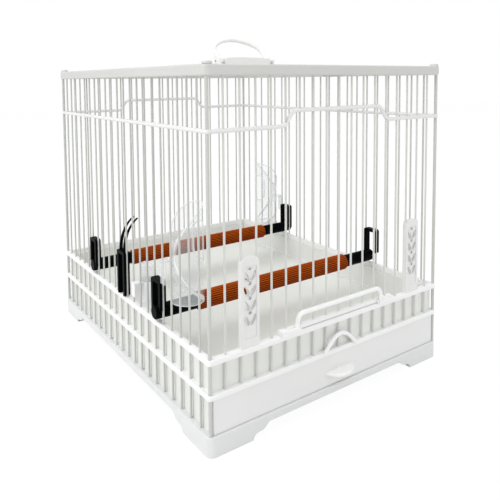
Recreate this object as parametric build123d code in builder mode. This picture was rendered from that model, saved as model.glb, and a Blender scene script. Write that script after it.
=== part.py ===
"""Bird travel carrier: a white barred cage with a slide-up door, a storage drawer and fittings.

Millimetres. +Z is up and the door is on the -Y side. The origin is on the surface that the
four feet stand on, under the middle of the cage. Every bar passes through its rails.
"""

import os
from math import cos, radians, sin

from build123d import *

os.makedirs("parts", exist_ok=True)

# ---- Driving dimensions ----------------------------------------------------------------
PITCH = 15.0  # bar spacing on all four walls and in the roof
BARS_WIDE = 17  # bars in the front and back walls
BARS_DEEP = 21  # bars in the side walls
CORNER_GAP = 14.0  # last bar to corner post
BAR_R = 0.9
POST_R = 1.5
HALF_X = (BARS_WIDE - 1) / 2 * PITCH + CORNER_GAP  # corner post centres
HALF_Y = (BARS_DEEP - 1) / 2 * PITCH + CORNER_GAP
FIT = 0.06  # radial clearance of a bar that is fixed in a moulded rail
SLIDE = 0.35  # clearance of a piece that slides on another

# Heights of the moulded rails
SKIRT_BOTTOM, LEDGE = 10.0, 16.0
MID_BOTTOM, MID_TOP = 44.0, 48.5
RIM_BOTTOM, RIM_TOP = 71.0, 76.0
RING_Z, RING_R, HUMP_Z = 246.5, 1.8, 259.0
ROOF_BOTTOM, ROOF_TOP = 286.9, 295.7
FLOOR_Z = 47.0

# Outer and inner half sizes, as distances out from the line of the bars
FOOT_OUT, FOOT_IN = 3.0, 7.0
MID_OUT, MID_IN, FLANGE_IN = 2.5, 5.0, 10.0
RIM_OUT, RIM_IN = 2.5, 2.5
ROOF_OUT, ROOF_IN = 3.2, 6.0

# Door: the bars over its width leave the fixed wall and rise with it
DOOR_BARS = 4  # bars each side of the middle one
DOOR_HALF = DOOR_BARS * PITCH + 7.5
DOOR_Z = RIM_TOP + SLIDE
RAIL_H = 4.0

# Yokes: black clips that grip two bars of a side wall, PITCH apart
YOKE_X, YOKE_T, YOKE_HALF, YOKE_LEG = 134.6, 6.0, 8.4, 3.4
YOKE_BRIDGE, YOKE_CORNER = 3.4, 2.6

bars_x = [PITCH * i for i in range(-(BARS_WIDE // 2), BARS_WIDE // 2 + 1)]
bars_y = [PITCH * i for i in range(-(BARS_DEEP // 2), BARS_DEEP // 2 + 1)]
door_x = [x for x in bars_x if abs(x) <= DOOR_BARS * PITCH]
fixed_x = [x for x in bars_x if abs(x) > DOOR_BARS * PITCH]
corners = [(sx * HALF_X, sy * HALF_Y) for sx in (-1, 1) for sy in (-1, 1)]
three_walls = [(s * HALF_X, y) for s in (-1, 1) for y in bars_y] + [(x, HALF_Y) for x in bars_x]
four_walls = three_walls + [(x, -HALF_Y) for x in fixed_x]


def save(builder, name):
    """Label a finished piece and write its STEP file."""
    builder.part.label = name
    export_step(builder.part, f"parts/{name}.step")


def block(x, y, z, mode=Mode.ADD):
    """A box between the two faces given along each axis."""
    with Locations((sum(x) / 2, sum(y) / 2, sum(z) / 2)):
        Box(abs(x[1] - x[0]), abs(y[1] - y[0]), z[1] - z[0], mode=mode)


def rods(points, radius, bottom, top, mode=Mode.ADD):
    """Upright round bars, or holes, standing at plan points."""
    with Locations(*[(x, y, bottom) for x, y in points]):
        Cylinder(radius, top - bottom, align=(Align.CENTER, Align.CENTER, Align.MIN), mode=mode)


def bar_holes(points, bottom, top):
    """Holes for the fixed bars and the corner posts that pass through a rail."""
    rods(points, BAR_R + FIT, bottom, top, Mode.SUBTRACT)
    rods(corners, POST_R + FIT, bottom, top, Mode.SUBTRACT)


def yoke(sign, y, top, near_end, far_end):
    """An arch over two bars of a side wall, slotted for them, with legs down to two heights."""
    low, middle = min(near_end, far_end), YOKE_HALF - YOKE_LEG / 2
    with BuildSketch(Plane.YZ.offset(sign * YOKE_X - YOKE_T / 2)) as outline:
        with Locations((y, (low + top) / 2)):
            RectangleRounded(2 * YOKE_HALF, top - low, YOKE_CORNER)
        with Locations((y, (low + top) / 2 - YOKE_BRIDGE)):
            Rectangle(2 * (YOKE_HALF - YOKE_LEG), top - low, mode=Mode.SUBTRACT)
        for leg_y, end in ((y - middle, near_end), (y + middle, far_end)):
            if end > low:
                with Locations((leg_y, end - 20)):
                    Rectangle(YOKE_LEG + 0.1, 40, mode=Mode.SUBTRACT)
    extrude(outline.sketch, amount=YOKE_T)
    grip = BAR_R + SLIDE
    for side in (-1, 1):
        block(
            (sign * HALF_X - grip, sign * HALF_X + grip),
            (y + side * (PITCH / 2 - grip), y + side * PITCH),
            (low - 1, top + 1),
            Mode.SUBTRACT,
        )


def frame_band(out, inner, corner):
    """Plan of a four-sided rail, measured out from and in from the line of the bars."""
    RectangleRounded(2 * (HALF_X + out), 2 * (HALF_Y + out), corner)
    Rectangle(2 * (HALF_X - inner), 2 * (HALF_Y - inner), mode=Mode.SUBTRACT)


# ---- Base mouldings --------------------------------------------------------------------
# The lowest moulding: a skirt with a ledge for the bars and a foot at each corner. The
# underside climbs from a foot in a cove, a short shelf and a second curve.
FOOT_LENGTH, COVE_END, SHELF_END, FOOT_END, SHELF_Z = 41.0, 46.5, 50.0, 56.8, 5.1
with BuildPart() as foot_frame:
    with BuildSketch():
        frame_band(FOOT_OUT, FOOT_IN, 6.0)
    extrude(amount=LEDGE)
    ledge_edges = foot_frame.edges().group_by(Axis.Z)[-1].filter_by(
        lambda e: abs(e.center().X) > HALF_X or abs(e.center().Y) > HALF_Y
    )
    fillet(ledge_edges, 0.7)
    for plane, half in ((Plane.XZ, HALF_X + FOOT_OUT), (Plane.YZ, HALF_Y + FOOT_OUT)):
        with BuildSketch(plane):
            with BuildLine():
                top = Line((0, SKIRT_BOTTOM), (half - FOOT_END, SKIRT_BOTTOM))
                curve = ThreePointArc(
                    top @ 1, (half - 54.2, (SHELF_Z + SKIRT_BOTTOM) / 2), (half - SHELF_END, SHELF_Z)
                )
                shelf = Line(curve @ 1, (half - COVE_END, SHELF_Z - 0.1))
                cove = ThreePointArc(
                    shelf @ 1, (half - FOOT_LENGTH - 1.7, 3.4), (half - FOOT_LENGTH, 0)
                )
                edge = Line(cove @ 1, cove @ 1 - (0, 1))
                Line(edge @ 1, (0, -1))
                mirror(about=Plane.YZ)
            make_face()
        extrude(amount=2 * HALF_Y, both=True, mode=Mode.SUBTRACT)
save(foot_frame, "foot_frame")

# The middle rail: a rounded bead on the outside, a flange that carries the floor board,
# and a finger arch moulded on its front.
ARCH_HALF, ARCH_TOP, ARCH_R = 19.0, 61.2, 1.8
ARCH_Y = -HALF_Y - MID_OUT - 0.4
with BuildPart() as middle_rim:
    with BuildSketch(Plane.XY.offset(MID_BOTTOM)):
        frame_band(MID_OUT, MID_IN, 3.0)
    extrude(amount=MID_TOP - MID_BOTTOM)
    outer_edges = middle_rim.edges().filter_by(
        lambda e: abs(e.center().X) > HALF_X or abs(e.center().Y) > HALF_Y
    )
    fillet(outer_edges.filter_by(Axis.Z, reverse=True), 1.2)
    with BuildSketch(Plane.XY.offset(MID_BOTTOM)):
        frame_band(-MID_IN, FLANGE_IN, 0.1)
    extrude(amount=FLOOR_Z - 1.5 - MID_BOTTOM)
    bar_holes(three_walls, MID_BOTTOM - 1, MID_TOP + 1)
    with BuildLine(Plane.XZ.offset(-ARCH_Y)) as arch_path:
        Spline(
            (-ARCH_HALF, MID_TOP - 1.5),
            (-0.72 * ARCH_HALF, ARCH_TOP - 7.6),
            (0, ARCH_TOP),
            (0.72 * ARCH_HALF, ARCH_TOP - 7.6),
            (ARCH_HALF, MID_TOP - 1.5),
        )
    with BuildSketch(Plane(arch_path.line @ 0, z_dir=arch_path.line % 0)):
        Circle(ARCH_R)
    sweep()
save(middle_rim, "middle_rim")

with BuildPart() as floor_board:
    floor_x, floor_y = HALF_X - MID_IN - 0.3, HALF_Y - MID_IN - 0.3
    block((-floor_x, floor_x), (-floor_y, floor_y), (FLOOR_Z - 1.5, FLOOR_Z))
save(floor_board, "floor_board")

with BuildPart() as upper_rim:
    with BuildSketch(Plane.XY.offset(RIM_BOTTOM)):
        frame_band(RIM_OUT, RIM_IN, 3.0)
    extrude(amount=RIM_TOP - RIM_BOTTOM)
    outer_edges = upper_rim.edges().filter_by(
        lambda e: abs(e.center().X) > HALF_X or abs(e.center().Y) > HALF_Y
    )
    fillet(outer_edges.filter_by(Axis.Z, reverse=True), 1.2)
    bar_holes(four_walls, RIM_BOTTOM - 1, RIM_TOP + 1)
save(upper_rim, "upper_rim")

# Seed guards: thin panels just inside the bars of the two low tiers.
GUARD_IN, GUARD_T = 2.0, 2.0
tiers = ((LEDGE, MID_BOTTOM), (MID_TOP, RIM_BOTTOM))
guard_x, guard_y = HALF_X - GUARD_IN, HALF_Y - GUARD_IN
for side, sign in (("left", -1), ("right", 1)):
    with BuildPart() as guard:
        for tier in tiers:
            block(
                (sign * (guard_x - GUARD_T), sign * guard_x),
                (-guard_y + GUARD_T, guard_y - GUARD_T),
                tier,
            )
    save(guard, f"guard_{side}")
for side, sign, levels in (("back", 1, tiers), ("front", -1, tiers[1:])):
    with BuildPart() as guard:
        for tier in levels:
            block((-guard_x, guard_x), (sign * (guard_y - GUARD_T), sign * guard_y), tier)
    save(guard, f"guard_{side}")

# Two angle strips inside the foot frame carry the drawer.
RUNNER_W, RUNNER_T = 9.0, 3.0
for side, sign in (("left", -1), ("right", 1)):
    with BuildPart() as runner:
        inner = HALF_X - FOOT_IN
        block(
            (sign * inner, sign * (inner - RUNNER_W)),
            (-HALF_Y + FOOT_IN, HALF_Y - FOOT_IN),
            (LEDGE - RUNNER_T, LEDGE),
        )
        block(
            (sign * inner, sign * (inner - 2)),
            (-HALF_Y + FOOT_IN, HALF_Y - FOOT_IN),
            (SKIRT_BOTTOM + 1, LEDGE - RUNNER_T),
        )
    save(runner, f"drawer_runner_{side}")

# ---- Bars, ring rail and roof ----------------------------------------------------------
with BuildPart() as corner_posts:
    rods(corners, POST_R, LEDGE, ROOF_BOTTOM)
save(corner_posts, "corner_posts")

for side, points in (
    ("left", [(-HALF_X, y) for y in bars_y]),
    ("right", [(HALF_X, y) for y in bars_y]),
    ("back", [(x, HALF_Y) for x in bars_x]),
):
    with BuildPart() as wall:
        rods(points, BAR_R, LEDGE, ROOF_BOTTOM)
    save(wall, f"bars_{side}")
for side, sign in (("left", -1), ("right", 1)):
    with BuildPart() as wall:
        rods([(x, -HALF_Y) for x in fixed_x if x * sign > 0], BAR_R, MID_TOP, ROOF_BOTTOM)
    save(wall, f"bars_front_{side}")
with BuildPart() as bars_under_door:
    rods([(x, -HALF_Y) for x in door_x], BAR_R, MID_TOP, RIM_BOTTOM)
save(bars_under_door, "bars_under_door")

# The ring rail stiffens the walls, and humps up over the door at the front and back.
HUMP_FOOT, HUMP_SHOULDER, HUMP_BEND = 61.0, 52.0, 8.0
with BuildPart() as ring_rail:
    for y in (-HALF_Y, HALF_Y):
        with BuildLine(Plane.XZ.offset(-y)) as hump_path:
            FilletPolyline(
                (-HALF_X, RING_Z),
                (-HUMP_FOOT, RING_Z),
                (-HUMP_SHOULDER, HUMP_Z),
                (HUMP_SHOULDER, HUMP_Z),
                (HUMP_FOOT, RING_Z),
                (HALF_X, RING_Z),
                radius=HUMP_BEND,
            )
        with BuildSketch(Plane((-HALF_X, y, RING_Z), z_dir=(1, 0, 0))):
            Circle(RING_R)
        sweep(path=hump_path.line)
    for x in (-HALF_X, HALF_X):
        with Locations((x, 0, RING_Z)):
            Cylinder(RING_R, 2 * HALF_Y, rotation=(90, 0, 0))
    with Locations(*[(x, y, RING_Z) for x, y in corners]):
        Sphere(RING_R + 0.5)
    bar_holes(four_walls, RING_Z - 4, RING_Z + 4)
    rods([(x, -HALF_Y) for x in door_x], BAR_R + SLIDE, RING_Z - 4, HUMP_Z + 4, Mode.SUBTRACT)
    rods([(x, HALF_Y) for x in door_x], BAR_R + FIT, RING_Z - 4, HUMP_Z + 4, Mode.SUBTRACT)
save(ring_rail, "ring_rail")

with BuildPart() as roof_frame:
    with BuildSketch(Plane.XY.offset(ROOF_BOTTOM)):
        frame_band(ROOF_OUT, ROOF_IN, 5.0)
    extrude(amount=ROOF_TOP - ROOF_BOTTOM)
    top_edges = roof_frame.edges().filter_by(
        lambda e: abs(e.center().X) > HALF_X or abs(e.center().Y) > HALF_Y
    )
    fillet(top_edges.filter_by(Axis.Z, reverse=True), 1.6)
    rods(
        [(x, -HALF_Y) for x in door_x], BAR_R + SLIDE, ROOF_BOTTOM - 1, ROOF_TOP + 1, Mode.SUBTRACT
    )
save(roof_frame, "roof_frame")

CAP_R, CAP_H, CAP_IN = 4.0, 2.2, 1.5
with BuildPart() as corner_caps:
    cap_points = [(x - CAP_IN * x / HALF_X, y - CAP_IN * y / HALF_Y) for x, y in corners]
    rods(cap_points, CAP_R, ROOF_TOP, ROOF_TOP + CAP_H)
    fillet(corner_caps.edges().group_by(Axis.Z)[-1], 1.2)
save(corner_caps, "corner_caps")

# The roof is a row of bars each side of a board that carries the handle.
HANDLE_Y = -26.0
BOARD_HALF, BOARD_Z = 16.0, (288.5, 292.5)
ROOF_BAR_Z = 291.0
roof_x, roof_y = HALF_X - ROOF_IN, HALF_Y - ROOF_IN
with BuildPart() as roof_board:
    block((-roof_x, roof_x), (HANDLE_Y - BOARD_HALF, HANDLE_Y + BOARD_HALF), BOARD_Z)
save(roof_board, "roof_board")
for side, near, far in (
    ("front", -roof_y, HANDLE_Y - BOARD_HALF),
    ("back", HANDLE_Y + BOARD_HALF, roof_y),
):
    with BuildPart() as roof_bars:
        with Locations(*[(x, (near + far) / 2, ROOF_BAR_Z) for x in bars_x]):
            Cylinder(BAR_R, far - near, rotation=(90, 0, 0))
    save(roof_bars, f"roof_bars_{side}")

# ---- Door ------------------------------------------------------------------------------
RAIL_FRONT, RAIL_BACK = -HALF_Y - 1.5, -HALF_Y + 2.0
with BuildPart() as door_rail:
    block((-DOOR_HALF, DOOR_HALF), (RAIL_FRONT, RAIL_BACK), (DOOR_Z, DOOR_Z + RAIL_H))
    fillet(door_rail.edges().filter_by(Axis.X), 0.8)
save(door_rail, "door_rail")
with BuildPart() as door_bars:
    rods([(x, -HALF_Y) for x in door_x], BAR_R, DOOR_Z + RAIL_H, ROOF_TOP - 1.5)
save(door_bars, "door_bars")

# The lift loop: one bent rod whose feet are moulded to the front of the rail.
LOOP_FOOT, LOOP_SHOULDER, LOOP_TOP, LOOP_R = 51.5, 49.5, 91.0, 2.0
LOOP_Y = RAIL_FRONT - LOOP_R
with BuildPart() as door_loop:
    with BuildLine(Plane.XZ.offset(-LOOP_Y)) as loop_path:
        FilletPolyline(
            (-LOOP_FOOT, DOOR_Z + 1),
            (-LOOP_SHOULDER, LOOP_TOP),
            (LOOP_SHOULDER, LOOP_TOP),
            (LOOP_FOOT, DOOR_Z + 1),
            radius=6.0,
        )
    with BuildSketch(Plane(loop_path.line @ 0, z_dir=loop_path.line % 0)):
        Circle(LOOP_R)
    sweep()
    for sign in (-1, 1):
        block(
            (sign * (LOOP_FOOT - 3.5), sign * DOOR_HALF),
            (RAIL_FRONT - 2 * LOOP_R, RAIL_FRONT),
            (DOOR_Z, DOOR_Z + RAIL_H - 0.6),
        )
    split(bisect_by=Plane.XY.offset(DOOR_Z), keep=Keep.TOP)
save(door_loop, "door_loop")

# ---- Plaques ---------------------------------------------------------------------------
# Plates threaded on two bars each. A raised border frames a sunk panel, pierced by pairs of
# leaning petals with a round hole between them.
PLAQUE_X, PLAQUE_HALF, PLAQUE_TOP, PLAQUE_T = 97.5, 8.6, 147.0, 4.3
PANEL_HALF, PANEL_Z, PANEL_SINK = 6.3, (83.0, 141.0), 0.8
PETAL_Z, PETAL_STEP, PETAL_ROWS = 97.5, 11.6, 4
for side, sign in (("left", -1), ("right", 1)):
    centre = sign * PLAQUE_X
    with BuildPart() as plaque:
        with BuildSketch(Plane.XZ.offset(HALF_Y - PLAQUE_T / 2)):
            with Locations((centre, (RIM_TOP + PLAQUE_TOP) / 2)):
                RectangleRounded(2 * PLAQUE_HALF, PLAQUE_TOP - RIM_TOP, 3.5)
            with Locations((centre, RIM_TOP + 3)):
                Rectangle(2 * PLAQUE_HALF, 6)
        extrude(amount=PLAQUE_T)
        with BuildSketch(Plane.XZ.offset(HALF_Y + PLAQUE_T / 2)):
            with Locations((centre, sum(PANEL_Z) / 2)):
                RectangleRounded(2 * PANEL_HALF, PANEL_Z[1] - PANEL_Z[0], 2.5)
        extrude(amount=-PANEL_SINK, mode=Mode.SUBTRACT)
        with BuildSketch(Plane.XZ.offset(HALF_Y - PLAQUE_T / 2)):
            for row in range(PETAL_ROWS):
                z = PETAL_Z + row * PETAL_STEP
                for lean in (-1, 1):
                    with Locations(Location((centre + lean * 3.3, z, 0), (0, 0, -lean * 30))):
                        Ellipse(1.9, 4.6)
                with Locations((centre, z + PETAL_STEP / 2)):
                    Circle(1.4)
        extrude(amount=PLAQUE_T, mode=Mode.SUBTRACT)
        rods(
            [(x, -HALF_Y) for x in fixed_x if abs(x - centre) < PITCH],
            BAR_R + FIT,
            RIM_TOP - 1,
            PLAQUE_TOP + 1,
            Mode.SUBTRACT,
        )
    save(plaque, f"plaque_{side}")

# ---- Drawer ----------------------------------------------------------------------------
TRAY_Z, TRAY_WALL = (LEDGE + 0.6, MID_BOTTOM - 1.0), 1.8
TRAY_X, TRAY_FRONT, TRAY_BACK = HALF_X - 5.0, -HALF_Y + 1.2, HALF_Y - 6.0
with BuildPart() as drawer_tray:
    block((-TRAY_X, TRAY_X), (TRAY_FRONT, TRAY_BACK), TRAY_Z)
    block(
        (-TRAY_X + TRAY_WALL, TRAY_X - TRAY_WALL),
        (TRAY_FRONT + TRAY_WALL, TRAY_BACK - TRAY_WALL),
        (TRAY_Z[0] + TRAY_WALL, TRAY_Z[1] + 1),
        Mode.SUBTRACT,
    )
save(drawer_tray, "drawer_tray")

# The front fills the space between the posts, a little behind the rail and the skirt.
FRONT_OUT, FRONT_HALF = -HALF_Y - 0.8, HALF_X - POST_R - 0.7
with BuildPart() as drawer_front:
    block(
        (-FRONT_HALF, FRONT_HALF), (FRONT_OUT, TRAY_FRONT), (LEDGE + 0.32, MID_BOTTOM - 0.32)
    )
    fillet(drawer_front.edges().filter_by(Axis.Z).group_by(Axis.Y)[0], 0.8)
save(drawer_front, "drawer_front")

# The pull is a half-moon shelf, thicker at its root.
PULL_Z, PULL_T, PULL_HALF, PULL_REACH = 29.3, 2.2, 16.0, 11.5
with BuildPart() as drawer_pull:
    with BuildSketch(Plane.XY.offset(PULL_Z - PULL_T)):
        with BuildLine():
            Line((-PULL_HALF, FRONT_OUT), (PULL_HALF, FRONT_OUT))
            ThreePointArc(
                (PULL_HALF, FRONT_OUT), (0, FRONT_OUT - PULL_REACH), (-PULL_HALF, FRONT_OUT)
            )
        make_face()
    extrude(amount=PULL_T)
    fillet(drawer_pull.faces().sort_by(Axis.Z)[-1].edges().filter_by(GeomType.CIRCLE), 0.8)
save(drawer_pull, "drawer_pull")

# ---- Perches ---------------------------------------------------------------------------
# A wooden dowel on two black ends. Each end passes out between two bars, under the yoke
# that grips them, and one leg of the yoke is moulded to it.
PERCH_Z, DOWEL_R, DOWEL_HALF = 85.0, 8.2, 93.5
STUB_R, END_R = 6.4, PITCH / 2 - BAR_R - SLIDE
YOKE_TOP, FREE_END, MOULDED_END = 114.5, 88.2, PERCH_Z - 1.5
for place, y, shift, ends, legs in (
    ("front", -82.5, -3.5, (139.5, 133.0), (FREE_END, MOULDED_END)),
    ("rear", 67.5, 0.5, (138.5, 139.5), (MOULDED_END, FREE_END)),
):
    with BuildPart() as dowel:
        with BuildSketch(Plane.YZ.offset(shift)):
            with Locations((y, PERCH_Z)):
                Circle(DOWEL_R)
        extrude(amount=DOWEL_HALF, both=True)
        chamfer(dowel.edges().filter_by(GeomType.CIRCLE), 0.8)
    save(dowel, f"perch_{place}_dowel")
    for side, sign, reach in (("left", -1, ends[0]), ("right", 1, ends[1])):
        with BuildPart() as clip:
            for start, end, radius in (
                (DOWEL_HALF + sign * shift, HALF_X - 6, STUB_R),
                (HALF_X - 6, reach, END_R),
            ):
                with Locations((sign * (start + end) / 2, y, PERCH_Z)):
                    Cylinder(radius, end - start, rotation=(0, 90, 0))
            outer_face = clip.faces().sort_by(Axis.X)[0 if sign < 0 else -1]
            fillet(outer_face.edges(), 1.5)
            yoke(sign, y, YOKE_TOP, *legs)
        save(clip, f"perch_{place}_end_{side}")

# ---- Fruit fork ------------------------------------------------------------------------
# A long yoke on the left wall whose two tapered prongs curl in to hold fruit.
FORK_Y, FORK_TOP, PRONG_Y = -7.5, 120.0, 4.4
with BuildPart() as fruit_fork:
    yoke(-1, FORK_Y, FORK_TOP, RIM_TOP + SLIDE, RIM_TOP + SLIDE)
    for side in (-1, 1):
        with BuildLine(Plane.XZ.offset(-FORK_Y - side * PRONG_Y)) as prong_path:
            Spline((-134.6, FORK_TOP - 2), (-133.2, 131.5), (-129.0, 141.5), (-120.6, 150.3))
        for where, radius in ((0, 1.8), (1, 0.8)):
            point = prong_path.line @ where
            with BuildSketch(Plane(point, z_dir=prong_path.line % where)):
                Circle(radius)
        sweep(path=prong_path.line, multisection=True)
save(fruit_fork, "fruit_fork")

# ---- Hooded feeders --------------------------------------------------------------------
# Thin clear scoops: a round cup with a hood that rises in a curve towards the middle of the
# cage, an oval mouth in the hood, and a hook over the wall.
FEEDER_R, FEEDER_WALL, HOOD_RISE, FEEDER_TALL = 14.4, 1.3, 40.0, 83.5
MOUTH_RISE, MOUTH_H, MOUTH_W = 33.0, 33.0, 16.0
HOOK_RISE, HOOK_H, HOOK_W, HOOK_OUT, HOOK_T = 37.0, 21.0, 8.0, 138.2, 1.6
for place, sign, x, y, bay, foot in (
    ("front", -1, -118.0, -104.0, -97.5, 98.0),
    ("rear", 1, 118.0, 88.8, 82.5, 88.5),
):
    brow, mouth, hook = foot + FEEDER_TALL, foot + MOUTH_RISE + MOUTH_H / 2, foot + HOOK_RISE
    with BuildPart() as feeder:
        rods([(x, y)], FEEDER_R, foot, brow + 3)
        rods([(x, y)], FEEDER_R - FEEDER_WALL, foot + FEEDER_WALL, brow + 4, Mode.SUBTRACT)
        with BuildSketch(Plane.XZ.offset(-y)):
            with BuildLine():
                low, high = (x + sign * FEEDER_R, foot + HOOD_RISE), (x - sign * FEEDER_R, brow)
                hood = ThreePointArc(low, (x + sign * 4, brow - 13), high)
                Polyline(high, (x - sign * 20, brow), (x - sign * 20, brow + 9),
                         (x + sign * 20, brow + 9), (x + sign * 20, low[1]), low)
            make_face()
        extrude(amount=30, both=True, mode=Mode.SUBTRACT)
        with BuildSketch(Plane.YZ.offset(x)):
            with Locations((y, mouth)):
                RectangleRounded(MOUTH_W, MOUTH_H, MOUTH_W / 2 - 0.1)
        extrude(amount=-sign * 20, mode=Mode.SUBTRACT)
        block(
            (x + sign * (FEEDER_R - 3.0), sign * HOOK_OUT),
            (bay - HOOK_W / 2, bay + HOOK_W / 2),
            (hook - 2, hook),
        )
        rods([(x, y)], FEEDER_R - FEEDER_WALL, hook - 3, hook + 1, Mode.SUBTRACT)
        block(
            (sign * (HOOK_OUT - HOOK_T), sign * HOOK_OUT),
            (bay - HOOK_W / 2, bay + HOOK_W / 2),
            (hook - HOOK_H, hook),
        )
    save(feeder, f"feeder_{place}")

# ---- Treat cup -------------------------------------------------------------------------
CUP_X, CUP_Y, CUP_R, CUP_WALL, CUP_Z = -119.6, -37.5, 9.5, 1.2, (77.0, 97.0)
with BuildPart() as treat_cup:
    rods([(CUP_X, CUP_Y)], CUP_R, *CUP_Z)
    rods([(CUP_X, CUP_Y)], CUP_R - CUP_WALL, CUP_Z[0] + CUP_WALL, CUP_Z[1] + 1, Mode.SUBTRACT)
    block((CUP_X - CUP_R + 0.6, -HOOK_OUT), (CUP_Y - 3.5, CUP_Y + 3.5), (CUP_Z[1] - 2, CUP_Z[1]))
    block((-HOOK_OUT, -HOOK_OUT + HOOK_T), (CUP_Y - 3.5, CUP_Y + 3.5), (84, CUP_Z[1]))
    rods([(CUP_X, CUP_Y)], CUP_R - CUP_WALL, CUP_Z[1] - 3, CUP_Z[1] + 1, Mode.SUBTRACT)
save(treat_cup, "treat_cup")
with BuildPart() as treat_cup_hood:
    hood_plane = Plane((CUP_X, CUP_Y, CUP_Z[1]))
    with BuildSketch(hood_plane):
        Circle(CUP_R)
        Circle(CUP_R - CUP_WALL, mode=Mode.SUBTRACT)
        with Locations((CUP_R, 0)):
            Rectangle(2 * CUP_R, 2 * CUP_R, mode=Mode.SUBTRACT)
    extrude(amount=14)
    with BuildSketch(hood_plane.offset(14)):
        Circle(CUP_R)
        with Locations((CUP_R, 0)):
            Rectangle(2 * CUP_R, 2 * CUP_R, mode=Mode.SUBTRACT)
    extrude(amount=CUP_WALL)
save(treat_cup_hood, "treat_cup_hood")

# ---- Carrying handle -------------------------------------------------------------------
# A boat-shaped base on the roof board, and a bail that leans back on its stop.
BASE_HALF, BASE_W, BASE_TOP, TIP_TOP = 37.0, 14.0, 307.2, 308.8
PIVOT_X, PIVOT_Z, PIN_R = 31.0, 303.4, 1.2
BAIL_R, BAIL_RISE, BAIL_LEAN = 2.1, 33.8, 45.0
EAR_GAP, SLOT_FLOOR = 5.4, PIVOT_Z - 4.0
STOP_Y, STOP_TOP = HANDLE_Y + 5.2, PIVOT_Z + 1.7  # the wall that the bail leans on
slot_front, slot_back = HANDLE_Y - BASE_W / 2 - 1, HANDLE_Y + BASE_W / 2 + 1
with BuildPart() as handle_base:
    with BuildSketch(Plane.XZ.offset(-HANDLE_Y - BASE_W / 2)):
        with BuildLine():
            keel = Line((0, BOARD_Z[1]), (BASE_HALF - 8, BOARD_Z[1]))
            bow = ThreePointArc(
                keel @ 1, (BASE_HALF - 2.6, SLOT_FLOOR - 2.2), (BASE_HALF, TIP_TOP)
            )
            tip = ThreePointArc(
                bow @ 1, (BASE_HALF - 2.2, BASE_TOP - 1.2), (BASE_HALF - 6, BASE_TOP - 1.2)
            )
            ThreePointArc(tip @ 1, (0.55 * BASE_HALF, BASE_TOP - 0.3), (0, BASE_TOP))
            mirror(about=Plane.YZ)
        make_face()
    extrude(amount=BASE_W)
    with BuildSketch(Plane.XY.offset(BOARD_Z[1])):
        with Locations((0, HANDLE_Y)):
            RectangleRounded(2 * BASE_HALF, BASE_W, 5.5)
    extrude(amount=20, mode=Mode.INTERSECT)
    for sign in (-1, 1):
        slot_x = (sign * (PIVOT_X - EAR_GAP / 2), sign * (PIVOT_X + EAR_GAP / 2))
        block(slot_x, (slot_front, STOP_Y), (SLOT_FLOOR, TIP_TOP + 1), Mode.SUBTRACT)
        block(slot_x, (slot_front, slot_back), (STOP_TOP, TIP_TOP + 1), Mode.SUBTRACT)
    with Locations((0, HANDLE_Y, PIVOT_Z)):
        Cylinder(PIN_R, 2 * BASE_HALF + 10, rotation=(0, 90, 0), mode=Mode.SUBTRACT)
save(handle_base, "handle_base")

with BuildPart() as handle_pins:
    for sign in (-1, 1):
        with Locations((sign * PIVOT_X, HANDLE_Y, PIVOT_Z)):
            Cylinder(PIN_R - 0.01, EAR_GAP + 2.4, rotation=(0, 90, 0))
save(handle_pins, "handle_pins")

lean = radians(BAIL_LEAN)
bail_plane = Plane(
    (0, HANDLE_Y, PIVOT_Z), x_dir=(1, 0, 0), z_dir=(0, -cos(lean), sin(lean))
)
with BuildPart() as handle_bail:
    with BuildLine(bail_plane) as bail_path:
        half = [(PIVOT_X, 0), (PIVOT_X, 8), (30.9, 15), (28.6, 21.2), (20.0, 28.4)]
        crown = [(x, z) for x, z in reversed(half)]
        Spline(*[(-x, z) for x, z in half], (0, BAIL_RISE), *crown)
    with BuildSketch(Plane(bail_path.line @ 0, z_dir=bail_path.line % 0)):
        Circle(BAIL_R)
    sweep()
    with Locations(*[(s * PIVOT_X, HANDLE_Y, PIVOT_Z) for s in (-1, 1)]):
        Cylinder(3.0, EAR_GAP - 2 * SLIDE, rotation=(0, 90, 0))
        Cylinder(PIN_R + 0.05, EAR_GAP + 4, rotation=(0, 90, 0), mode=Mode.SUBTRACT)
save(handle_bail, "handle_bail")
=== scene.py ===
import math

import bmesh
import bpy
from mathutils import Matrix, Vector


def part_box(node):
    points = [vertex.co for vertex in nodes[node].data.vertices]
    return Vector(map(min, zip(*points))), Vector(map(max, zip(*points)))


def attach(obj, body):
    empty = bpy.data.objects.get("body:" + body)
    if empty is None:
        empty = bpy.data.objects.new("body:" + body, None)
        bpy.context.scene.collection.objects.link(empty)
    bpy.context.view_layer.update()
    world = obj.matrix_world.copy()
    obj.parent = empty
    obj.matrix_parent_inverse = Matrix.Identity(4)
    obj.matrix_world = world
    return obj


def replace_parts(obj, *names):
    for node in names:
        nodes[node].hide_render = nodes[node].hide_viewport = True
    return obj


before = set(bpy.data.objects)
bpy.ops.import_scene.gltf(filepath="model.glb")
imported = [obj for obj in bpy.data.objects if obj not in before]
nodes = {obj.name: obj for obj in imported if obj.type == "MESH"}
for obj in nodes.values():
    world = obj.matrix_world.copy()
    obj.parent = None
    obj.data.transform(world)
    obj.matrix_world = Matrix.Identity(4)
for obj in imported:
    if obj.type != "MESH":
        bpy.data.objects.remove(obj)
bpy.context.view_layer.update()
scene = bpy.context.scene

# ---- Camera ----------------------------------------------------------------------------
# Eye height is just under the roof of the cage, so the roof shows edge on and the low
# corner of the base comes towards the viewer.
CAMERA_PLACE = Vector((-0.34374, -0.50212, 0.28328))
YAW, PITCH, ROLL = (math.radians(angle) for angle in (34.338, 3.94, -0.527))
SENSOR, FOCAL = 36.0, 39.71
SHIFT = (0.0379, -0.2628)
NEAREST = 0.01

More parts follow.
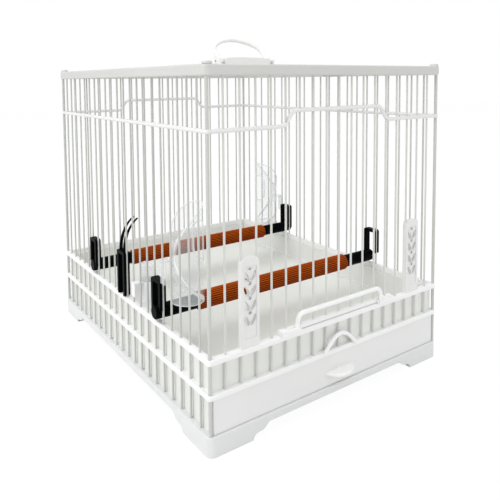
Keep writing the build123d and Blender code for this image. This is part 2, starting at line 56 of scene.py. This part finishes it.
ahead = Vector((math.sin(YAW) * math.cos(PITCH), math.cos(YAW) * math.cos(PITCH), -math.sin(PITCH)))
level_right = Vector((math.cos(YAW), -math.sin(YAW), 0))
level_up = level_right.cross(ahead)
right = level_right * math.cos(ROLL) + level_up * math.sin(ROLL)
up = level_up * math.cos(ROLL) - level_right * math.sin(ROLL)
camera = bpy.data.objects.new("camera", bpy.data.cameras.new("camera"))
camera.data.sensor_width, camera.data.lens = SENSOR, FOCAL
camera.data.shift_x, camera.data.shift_y = SHIFT
camera.data.clip_start = NEAREST
facing = Matrix((right, up, -ahead)).transposed().to_4x4()
camera.matrix_world = Matrix.Translation(CAMERA_PLACE) @ facing
scene.collection.objects.link(camera)
scene.camera = camera
scene.view_settings.view_transform = "Standard"


# ---- Skirt, rails, drawer and door -----------------------------------------------------
# The skirt, rails, drawer and door are injection moulded in an opaque white plastic with a
# satin skin: faint flow clouds in its tone and slight scuffs. The rails' colour is a shade
# whiter than the drawer's as painted light on their lit tops, and the skirt's a shade greyer
# as painted shade.
class Wire:
    """A shader socket that adds Math nodes when it is used in an expression."""

    def __init__(self, finish, socket):
        self.finish, self.socket = finish, socket

    def maths(self, operation, *values):
        return self.finish.add("ShaderNodeMath", {"operation": operation}, values)

    def __add__(self, other):
        return self.maths("ADD", self, other)

    __radd__ = __add__

    def __sub__(self, other):
        return self.maths("SUBTRACT", self, other)

    def __rsub__(self, other):
        return self.maths("SUBTRACT", other, self)

    def __mul__(self, other):
        return self.maths("MULTIPLY", self, other)

    __rmul__ = __mul__

    def __abs__(self):
        return self.maths("ABSOLUTE", self)

    def root(self):
        return self.maths("SQRT", self)

    def at_least(self, value):
        return self.maths("MAXIMUM", self, value)

    def at_most(self, value):
        return self.maths("MINIMUM", self, value)

    def below(self, value):
        return self.maths("LESS_THAN", self, value)

    def above(self, value):
        return self.maths("GREATER_THAN", self, value)


class Finish:
    """The nodes of a material or world: add() makes one from its type, settings and values."""

    def __init__(self, owner):
        owner.use_nodes = True
        self.owner, self.tree = owner, owner.node_tree
        self.tree.nodes.clear()

    def add(self, kind, settings=None, values=(), output=0):
        node = self.tree.nodes.new(kind)
        for name, value in (settings or {}).items():
            setattr(node, name, value)
        pairs = values.items() if isinstance(values, dict) else enumerate(values)
        for place, value in pairs:
            if isinstance(value, Wire):
                self.tree.links.new(value.socket, node.inputs[place])
            else:
                node.inputs[place].default_value = value
        return Wire(self, node.outputs[output]) if node.outputs else None

    def surface(self, values):
        """Ends the material in a Principled shader with these values."""
        shader = self.add("ShaderNodeBsdfPrincipled", {}, values)
        self.add("ShaderNodeOutputMaterial", {}, {"Surface": shader})
        return self

    def place_on(self, *pieces):
        for piece in pieces:
            piece.data.materials.clear()
            piece.data.materials.append(self.owner)

    def object_point(self, scale=(1, 1, 1)):
        """Object coordinates in metres, stretched by scale."""
        point = self.add("ShaderNodeTexCoord", output="Object")
        return self.add("ShaderNodeMapping", {}, {"Vector": point, "Scale": scale})

    def noise(self, point, scale, detail=2.0, roughness=0.5):
        values = {"Vector": point, "Scale": scale, "Detail": detail, "Roughness": roughness}
        return self.add("ShaderNodeTexNoise", {}, values, "Fac")

    def between(self, share, low, high):
        """A colour between two, by a share of 0 to 1; each is a wire or three numbers."""
        low, high = (c if isinstance(c, Wire) else (*c, 1) for c in (low, high))
        settings = {"data_type": "RGBA", "clamp_factor": True}
        return self.add("ShaderNodeMix", settings, {0: share, 6: low, 7: high}, 2)

    def bump(self, height, distance):
        values = {"Height": height, "Distance": distance, "Strength": 1.0}
        return self.add("ShaderNodeBump", {}, values)


CLOUDS, SCUFFS, GRAINS = 9.0, 60.0, 900.0  # a metre
SCUFF_SPREAD, SKIN_DEPTH, PLASTIC_IOR = 0.16, 0.00002, 1.49


def moulded(name, low, high, rough=0.34, streak=(1, 1, 1)):
    """Opaque moulded plastic: tone clouds between two colours and a fine uneven skin."""
    finish = Finish(bpy.data.materials.new(name))
    point = finish.object_point(streak)
    cloud = finish.noise(point, CLOUDS, 3.0)
    grain = finish.noise(point, GRAINS)
    scuff = finish.noise(point, SCUFFS, 4.0, 0.65)
    return finish.surface(
        {
            "Base Color": finish.between(cloud * 1.6 - 0.3, low, high),
            "Roughness": scuff * SCUFF_SPREAD + (rough - SCUFF_SPREAD / 2),
            "Normal": finish.bump(grain, SKIN_DEPTH),
            "IOR": PLASTIC_IOR,
        }
    )


white = moulded("white_plastic", (0.80, 0.80, 0.795), (0.84, 0.84, 0.84))
white_names = ("drawer_runner_left", "drawer_runner_right", "drawer_tray", "drawer_front")
white.place_on(*(nodes[name] for name in white_names))
# Painted light: the rails are coloured a shade whiter than the drawer for their lit tops.
rails = moulded("rail_plastic_painted_light", (0.88, 0.885, 0.875), (0.92, 0.92, 0.92))
rails.place_on(*(nodes[name] for name in ("middle_rim", "upper_rim", "door_rail", "door_loop")))
# Painted shade: the skirt is coloured a shade greyer than the drawer.
skirt = moulded("foot_plastic_painted_shade", (0.74, 0.745, 0.745), (0.78, 0.785, 0.79))
skirt.place_on(nodes["foot_frame"])

# The pull is a glossier piece of the same plastic, glued to the drawer front. Its colour
# is brighter than the drawer's as a painted highlight on its lit top.
pull = moulded("pull_plastic_painted_light", (0.90, 0.90, 0.89), (0.93, 0.93, 0.93), 0.26)
pull.place_on(nodes["drawer_pull"])

# ---- Bars ------------------------------------------------------------------------------
# Drawn plastic rods, threaded up through the rails, whose tone runs in long streaks. Their
# colour is greyer than the mouldings' as painted shade, least on the door's wall.
STREAK, BAR_ROUGH = (1, 1, 0.1), 0.3
bars = moulded("bar_plastic", (0.50, 0.51, 0.48), (0.62, 0.63, 0.60), BAR_ROUGH, STREAK)
bar_names = (
    "corner_posts", "bars_left", "bars_right", "bars_back", "roof_bars_front", "roof_bars_back",
)
bars.place_on(*(nodes[name] for name in bar_names))
# The door wall's bars carry less painted shade than the others.
front_bars = moulded(
    "front_bar_plastic", (0.62, 0.63, 0.60), (0.71, 0.715, 0.69), BAR_ROUGH, STREAK
)
front_bar_names = ("bars_front_left", "bars_front_right", "bars_under_door", "door_bars")
front_bars.place_on(*(nodes[name] for name in front_bar_names))
ring = moulded("ring_plastic", (0.78, 0.785, 0.77), (0.83, 0.83, 0.82), BAR_ROUGH)
ring.place_on(nodes["ring_rail"])

# ---- Seed guards and floor board -------------------------------------------------------
# Thin plain panels of plastic sheet stand in the base behind the bars, and a board of the
# same sheet carries the birds' litter. Both are a warmer white than the mouldings, and the
# board's tone is held a little low as painted shade for the inside of the base.
guards = moulded("guard_plastic", (0.78, 0.79, 0.755), (0.82, 0.83, 0.80), 0.42)
guards.place_on(*(nodes[f"guard_{side}"] for side in ("left", "right", "back", "front")))
floor_board = moulded("floor_plastic", (0.79, 0.81, 0.765), (0.84, 0.855, 0.82), 0.4)
floor_board.place_on(nodes["floor_board"])

# ---- Roof frame, board and caps --------------------------------------------------------
# The roof's frame, the board across it that carries the handle, and the caps at its corners
# are moulded in plastic, coloured one shade duller than the base as painted shade on the
# roof. The caps are pressed on the frame.
roof = moulded("roof_plastic_painted_shade", (0.59, 0.595, 0.57), (0.64, 0.645, 0.625), 0.4)
roof.place_on(nodes["roof_frame"], nodes["roof_board"], nodes["corner_caps"])


# ---- Plaques ---------------------------------------------------------------------------
# Pierced ornamental plates, moulded in white plastic and threaded on two bars each. A fine
# raised rim runs round each petal and each round hole, and a small arch closes the top.
def loop_edges(shape, wide, tall, segments):
    """An oval loop round the origin; returns its edges."""
    made = bmesh.ops.create_circle(shape, segments=segments, radius=1.0)["verts"]
    bmesh.ops.scale(shape, vec=(wide, tall, 1), verts=made)
    return list({edge for vert in made for edge in vert.link_edges})


def collar(shape, inner, width, height, place, segments=28):
    """A flat raised ring round an oval of half sizes inner, set by a matrix."""
    edges = loop_edges(shape, *inner, segments)
    edges += loop_edges(shape, inner[0] + width, inner[1] + width, segments)
    band = bmesh.ops.bridge_loops(shape, edges=edges)["faces"]
    raised = bmesh.ops.extrude_face_region(shape, geom=band)["geom"]
    top = [item for item in raised if isinstance(item, bmesh.types.BMVert)]
    bmesh.ops.translate(shape, vec=(0, 0, height), verts=top)
    whole = list({vert for face in band for vert in face.verts} | set(top))
    bmesh.ops.transform(shape, matrix=place, verts=whole)


def new_piece(shape, name, body, finish):
    """Closes a mesh, makes it an object and lets it ride on a body."""
    bmesh.ops.recalc_face_normals(shape, faces=shape.faces)
    mesh = bpy.data.meshes.new(name)
    shape.to_mesh(mesh)
    shape.free()
    piece = bpy.data.objects.new(name, mesh)
    scene.collection.objects.link(piece)
    finish.place_on(piece)
    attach(piece, body)
    return piece


PETAL_FOOT, PETAL_STEP, PETAL_ROWS = 0.0215, 0.0116, 4
PETAL_APART, PETAL_LEAN = 0.0033, math.radians(30)
PETAL_SIZE, HOLE_SIZE = (0.0019, 0.0046), (0.0014, 0.0014)
RIM_WIDTH, RIM_HEIGHT, PANEL_SINK, RIM_ROOT = 0.0005, 0.0007, 0.0008, 0.0003
ARCH_RADIUS, ARCH_FROM_TOP = 0.0044, 0.0146
QUARTER = math.radians(90)
upright = Matrix.Rotation(QUARTER, 4, "X")
plaque_finish = moulded("plaque_plastic", (0.77, 0.775, 0.765), (0.82, 0.82, 0.81), 0.36)
for side in ("left", "right"):
    low, high = (Vector(corner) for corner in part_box(f"plaque_{side}"))
    middle, panel = (low.x + high.x) / 2, low.y + PANEL_SINK + RIM_ROOT
    relief = bmesh.new()
    for row in range(PETAL_ROWS):
        level = low.z + PETAL_FOOT + row * PETAL_STEP
        for lean in (-1, 1):
            spot = Matrix.Translation((middle + lean * PETAL_APART, panel, level))
            tilt = Matrix.Rotation(lean * PETAL_LEAN, 4, "Y")
            collar(relief, PETAL_SIZE, RIM_WIDTH, RIM_HEIGHT, spot @ tilt @ upright)
        spot = Matrix.Translation((middle, panel, level + PETAL_STEP / 2))
        collar(relief, HOLE_SIZE, RIM_WIDTH, RIM_HEIGHT, spot @ upright, 20)
    arch = bmesh.ops.create_circle(relief, cap_ends=True, segments=8, radius=RIM_WIDTH)["verts"]
    arch_middle = Vector((middle, panel - RIM_ROOT, high.z - ARCH_FROM_TOP))
    bmesh.ops.translate(relief, vec=arch_middle + Vector((ARCH_RADIUS, 0, 0)), verts=arch)
    bmesh.ops.spin(
        relief,
        geom=arch + list({edge for vert in arch for edge in vert.link_edges})
        + list({face for vert in arch for face in vert.link_faces}),
        cent=arch_middle, axis=(0, -1, 0), angle=math.pi, steps=18,
    )
    new_piece(relief, f"plaque_relief_{side}", "cage", plaque_finish)
    plaque_finish.place_on(nodes[f"plaque_{side}"])

# ---- Carrying handle -------------------------------------------------------------------
# An off-white moulded base on the roof board holds a round bail on two steel pins. The bail
# is moulded in two halves that meet at a pair of fine beads near its crown.
handle = moulded("handle_plastic", (0.83, 0.83, 0.815), (0.88, 0.88, 0.87), 0.38)
handle.place_on(nodes["handle_base"], nodes["handle_bail"])
BAIL_R = 0.0021
BEAD_PLACES, BEAD_WIDTH, BEAD_WALL, BEAD_ROOT = (0.0008, 0.0036), 0.0007, 0.0005, 0.0002
bail_high = Vector(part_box("handle_bail")[1])
round_bail, turn = (BAIL_R - BEAD_ROOT, BAIL_R - BEAD_ROOT), Matrix.Rotation(QUARTER, 4, "Y")
beads = bmesh.new()
for along in BEAD_PLACES:
    spot = Matrix.Translation((along, bail_high.y - BAIL_R, bail_high.z - BAIL_R))
    collar(beads, round_bail, BEAD_WALL, BEAD_WIDTH, spot @ turn, 24)
new_piece(beads, "bail_beads", "handle", handle)

pins = Finish(bpy.data.materials.new("pin_steel"))
pin_grain = pins.noise(pins.object_point((1, 40, 40)), 200.0)
pins.surface(
    {
        "Base Color": pins.between(pin_grain, (0.5, 0.5, 0.51), (0.66, 0.66, 0.67)),
        "Metallic": 1.0,
        "Roughness": pin_grain * 0.2 + 0.25,
    }
)
pins.place_on(nodes["handle_pins"])

# ---- Perch ends and fruit fork ---------------------------------------------------------
# Clips moulded in black plastic that grip the bars. The skin is slightly uneven, and only
# its edges catch the light.
DEEP_BLACK, WORN_BLACK, UNEVEN = (0.001, 0.0011, 0.0016), (0.0025, 0.0027, 0.0038), 0.00004
black = Finish(bpy.data.materials.new("black_plastic"))
black_point = black.object_point()
black_cloud = black.noise(black_point, 90.0, 3.0)
black.surface(
    {
        "Base Color": black.between(black_cloud, DEEP_BLACK, WORN_BLACK),
        "Roughness": black_cloud * 0.16 + 0.2,
        "Normal": black.bump(black.noise(black_point, 420.0, 3.0), UNEVEN),
        "Specular IOR Level": 0.02,
        "IOR": 1.5,
    }
)
black.place_on(nodes["fruit_fork"])
for place in ("front", "rear"):
    black.place_on(*(nodes[f"perch_{place}_end_{side}"] for side in ("left", "right")))

# ---- Perch dowels ----------------------------------------------------------------------
# Turned hardwood rods, combed lengthwise with fine flutes for the birds' grip and stained
# red brown. Painted shade darkens the flutes and the underside, so the top shows the
# lighter, more orange stain.
FLUTES, FLUTE_DEPTH, SAMPLES, END_CHAMFER = 26, 0.0007, 8, 0.0013
# The first colour is painted shade in the flutes, the second painted shade under the rod.
FLUTE_SHADE, UNDERSIDE_SHADE = (0.03, 0.006, 0.001), (0.32, 0.040, 0.001)
DARK_STAIN, ORANGE_STAIN = (0.30, 0.040, 0.002), (0.78, 0.158, 0.006)
RED_STAIN = (0.55, 0.088, 0.003)
wood = Finish(bpy.data.materials.new("perch_wood"))
wood_point = wood.object_point((1, 14, 14))
wood_grain = wood.noise(wood_point, 70.0, 6.0, 0.6)
wood_patch = wood.noise(wood.object_point((1, 3, 3)), 22.0, 2.0)
crest, upper = (
    wood.add("ShaderNodeAttribute", {"attribute_name": layer}, {}, "Fac")
    for layer in ("crest", "upper")
)
stain = wood.between(wood_grain * 1.6 - 0.3, DARK_STAIN, ORANGE_STAIN)
patched = wood.between(wood_patch * 1.4 - 0.35, stain, RED_STAIN)
# Painted shade: the stain darkens towards the underside, by the upper share.
stain_shaded_below = wood.between(upper * 1.3 - 0.1, UNDERSIDE_SHADE, patched)
# Painted shade in the flutes: away from the crests the colour turns to the flute shade.
on_crest = (crest * 1.5 + wood_grain * 0.4 - 0.4).at_most(1.0)
wood.surface(
    {
        "Base Color": wood.between(on_crest, FLUTE_SHADE, stain_shaded_below),
        "Roughness": wood_grain * 0.2 + 0.38,
        "Normal": wood.bump(wood_grain, 0.0003),
        "Specular IOR Level": 0.05,
    }
)


def fluted_dowel(name, node, body):
    """A rod along X with lengthwise flutes and chamfered ends, in place of the plain one."""
    low, high = (Vector(corner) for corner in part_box(node))
    centre, radius = (low + high) / 2, (high.z - low.z) / 2
    rod = bmesh.new()
    crest_layer = rod.verts.layers.float.new("crest")
    upper_layer = rod.verts.layers.float.new("upper")
    bmesh.ops.create_circle(rod, cap_ends=True, segments=FLUTES * SAMPLES, radius=radius)
    for vert in rod.verts:
        vert[crest_layer] = 0.5 + 0.5 * math.cos(FLUTES * math.atan2(vert.co.y, vert.co.x))
        # The upper share, 1 on top and 0 below, masks the painted shade under the rod.
        vert[upper_layer] = 0.5 - 0.5 * vert.co.x / radius
        vert.co *= 1 - FLUTE_DEPTH / radius * (1 - vert[crest_layer])
    lengthwise = Matrix.Rotation(QUARTER, 3, "Y")
    bmesh.ops.rotate(rod, cent=(0, 0, 0), matrix=lengthwise, verts=rod.verts)
    bmesh.ops.translate(rod, vec=(low.x, centre.y, centre.z), verts=rod.verts)
    narrow, axis = 1 - END_CHAMFER / radius, Matrix.Translation(-centre)
    bmesh.ops.scale(rod, vec=(1, narrow, narrow), space=axis, verts=rod.verts)
    straight = high.x - low.x - 2 * END_CHAMFER
    caps = rod.faces[:]
    for step, size in ((END_CHAMFER, 1 / narrow), (straight, 1), (END_CHAMFER, narrow)):
        grown = bmesh.ops.extrude_face_region(rod, geom=caps[-1:])["geom"]
        caps += [item for item in grown if isinstance(item, bmesh.types.BMFace)]
        rim = [item for item in grown if isinstance(item, bmesh.types.BMVert)]
        bmesh.ops.translate(rod, vec=(step, 0, 0), verts=rim)
        bmesh.ops.scale(rod, vec=(1, size, size), space=axis, verts=rim)
    # Only the outer two caps stay, so that the rod is one closed skin.
    bmesh.ops.delete(rod, geom=caps[1:-1], context="FACES_ONLY")
    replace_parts(new_piece(rod, name, body, wood), node)


fluted_dowel("perch_front_rod", "perch_front_dowel", "perch_front")
fluted_dowel("perch_rear_rod", "perch_rear_dowel", "perch_rear")

# ---- Hooded feeders --------------------------------------------------------------------
# Blown clear plastic scoops, hooked over the bars. The thin wall is a faint milky veil, with
# painted highlights in bright white lines at the floor, the hood's edge and round the mouth.
FEEDER_R, HOOD_RISE, HOOD_BULGE, HOOD_DROP = 0.0144, 0.040, 0.004, 0.013
MOUTH_RISE, MOUTH_HALF, MOUTH_STRAIGHT = 0.0495, 0.008, 0.0085
# LINE and RING are the widths of the painted highlight lines.
LINE, RING, VEIL = 0.0015, 0.0024, 0.05
CLEAR_GREY, CLEAR_HIGHLIGHT = (0.74, 0.77, 0.79), (0.88, 0.89, 0.89)


def circle_through(a, b, c):
    """Centre and radius of the circle through three points, given as complex numbers."""
    b, c = b - a, c - a
    arm = (abs(b) ** 2 * c - abs(c) ** 2 * b) / (b.conjugate() * c - b * c.conjugate())
    return a + arm, abs(arm)


def line_share(finish, distance, width=LINE):
    """1 on a line and 0 from width away, by the distance from it."""
    values = {"Value": abs(distance), "From Max": width, "To Min": 1.0, "To Max": 0.0}
    return finish.add("ShaderNodeMapRange", {}, values)


def milky(finish, edge, veil):
    """Clear plastic: a share of edge paints a bright highlight line into the faint veil."""
    haze = finish.noise(finish.object_point(), 55.0, 3.0)
    return finish.surface(
        {
            "Base Color": finish.between(edge, CLEAR_GREY, CLEAR_HIGHLIGHT),
            "Roughness": haze * 0.1 + 0.12,
            "Normal": finish.bump(haze, 0.0002),
            "Alpha": (edge * 0.62 + haze * 0.06 + veil).at_most(1.0),
            "IOR": 1.45,
        }
    )


for place, sign in (("front", -1), ("rear", 1)):
    node = f"feeder_{place}"
    low, high = (Vector(corner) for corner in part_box(node))
    middle_x = high.x - FEEDER_R if sign < 0 else low.x + FEEDER_R
    middle_y, foot, brow = (low.y + high.y) / 2, low.z, high.z
    clear = Finish(bpy.data.materials.new(f"clear_plastic_painted_highlight_{place}"))
    point = clear.add("ShaderNodeTexCoord", output="Object")
    x, y, z = (clear.add("ShaderNodeSeparateXYZ", {}, (point,), axis) for axis in "XYZ")
    hood_centre, hood_radius = circle_through(
        complex(middle_x + sign * FEEDER_R, foot + HOOD_RISE),
        complex(middle_x + sign * HOOD_BULGE, brow - HOOD_DROP),
        complex(middle_x - sign * FEEDER_R, brow),
    )
    hood_x, hood_z = x - hood_centre.real, z - hood_centre.imag
    hood_line = line_share(clear, (hood_x * hood_x + hood_z * hood_z).root() - hood_radius)
    across, outward = y - middle_y, (x - middle_x) * sign
    beyond = (abs(z - (foot + MOUTH_RISE)) - MOUTH_STRAIGHT).at_least(0.0)
    from_mouth = (across * across + beyond * beyond).root() - MOUTH_HALF
    mouth_line = line_share(clear, from_mouth) * outward.below(0.0)
    from_axis = (outward * outward + across * across).root()
    floor_line = line_share(clear, z - foot, RING)
    floor_ring = floor_line * line_share(clear, from_axis - FEEDER_R, RING)
    hook = outward.above(FEEDER_R)
    # The hood, mouth and floor lines are painted highlights; the hook is whitened by the same
    # share.
    edge = hood_line + mouth_line + floor_line * 0.3 + floor_ring * 0.7 + hook * 0.4
    milky(clear, edge.at_most(1.0), VEIL).place_on(nodes[node])

# ---- Treat cup -------------------------------------------------------------------------
# A small cup moulded in white plastic and hooked over the bars. A clear half hood stands on
# it, with a painted highlight line along its top edge.
CUP_LINE, CUP_VEIL = 0.0025, 0.14
cup = moulded("cup_plastic", (0.86, 0.86, 0.87), (0.90, 0.90, 0.91), 0.3)
cup.place_on(nodes["treat_cup"])
hood = Finish(bpy.data.materials.new("hood_plastic_painted_highlight"))
hood_point = hood.add("ShaderNodeTexCoord", output="Object")
hood_up = hood.add("ShaderNodeSeparateXYZ", {}, (hood_point,), "Z")
# A painted highlight line along the hood's top edge.
top_line = line_share(hood, hood_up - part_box("treat_cup_hood")[1][2], CUP_LINE)
milky(hood, top_line * 0.6, CUP_VEIL).place_on(nodes["treat_cup_hood"])

# ---- Studio ----------------------------------------------------------------------------
# A white floor plane. Rays from the lens, gloss and clear plastic see it nearly white, and
# the rest is plain shading, so the cage still drops its shadow.
FLOOR_HALF, PAPER_SHARE, AMBIENT = 6.0, 0.92, 0.62
ground = bmesh.new()
bmesh.ops.create_grid(ground, x_segments=1, y_segments=1, size=FLOOR_HALF)
floor_mesh = bpy.data.meshes.new("studio_floor")
ground.to_mesh(floor_mesh)
ground.free()
studio_floor = bpy.data.objects.new("studio_floor", floor_mesh)
scene.collection.objects.link(studio_floor)
paper = Finish(bpy.data.materials.new("studio_paper"))
seen, glossy, through = (
    paper.add("ShaderNodeLightPath", output=ray)
    for ray in ("Is Camera Ray", "Is Glossy Ray", "Is Transmission Ray")
)
plain = paper.add("ShaderNodeBsdfDiffuse", {}, {"Color": (0.75, 0.75, 0.75, 1)})
bright = paper.add("ShaderNodeEmission", {}, {"Color": (1, 1, 1, 1), "Strength": 1.04})
bright_share = (seen + glossy + through) * PAPER_SHARE
shown = paper.add("ShaderNodeMixShader", {}, {0: bright_share, 1: plain, 2: bright})
paper.add("ShaderNodeOutputMaterial", {}, {"Surface": shown})
paper.place_on(studio_floor)

sky = Finish(bpy.data.worlds.new("studio_world"))
scene.world = sky.owner
sky_seen, sky_through = (
    sky.add("ShaderNodeLightPath", output=ray) for ray in ("Is Camera Ray", "Is Transmission Ray")
)
strength = (sky_seen + sky_through) * (1 - AMBIENT) + AMBIENT
sky_light = sky.add("ShaderNodeBackground", {}, {"Color": (1, 1, 1, 1), "Strength": strength})
sky.add("ShaderNodeOutputWorld", {}, {"Surface": sky_light})


def softbox(name, place, target, size, power):
    """A square area lamp aimed at a point."""
    lamp = bpy.data.objects.new(name, bpy.data.lights.new(name, "AREA"))
    lamp.data.size, lamp.data.energy = size, power
    lamp.location = place
    lamp.rotation_euler = (Vector(target) - Vector(place)).to_track_quat("-Z", "Y").to_euler()
    scene.collection.objects.link(lamp)


MIDDLE = (0, 0, 0.12)
softbox("left", (-1.7, 0.1, 1.0), MIDDLE, 1.4, 16)
softbox("front", (0.5, -1.9, 0.4), MIDDLE, 1.4, 9)
softbox("top", (0.0, 0.1, 2.0), MIDDLE, 2.4, 22)
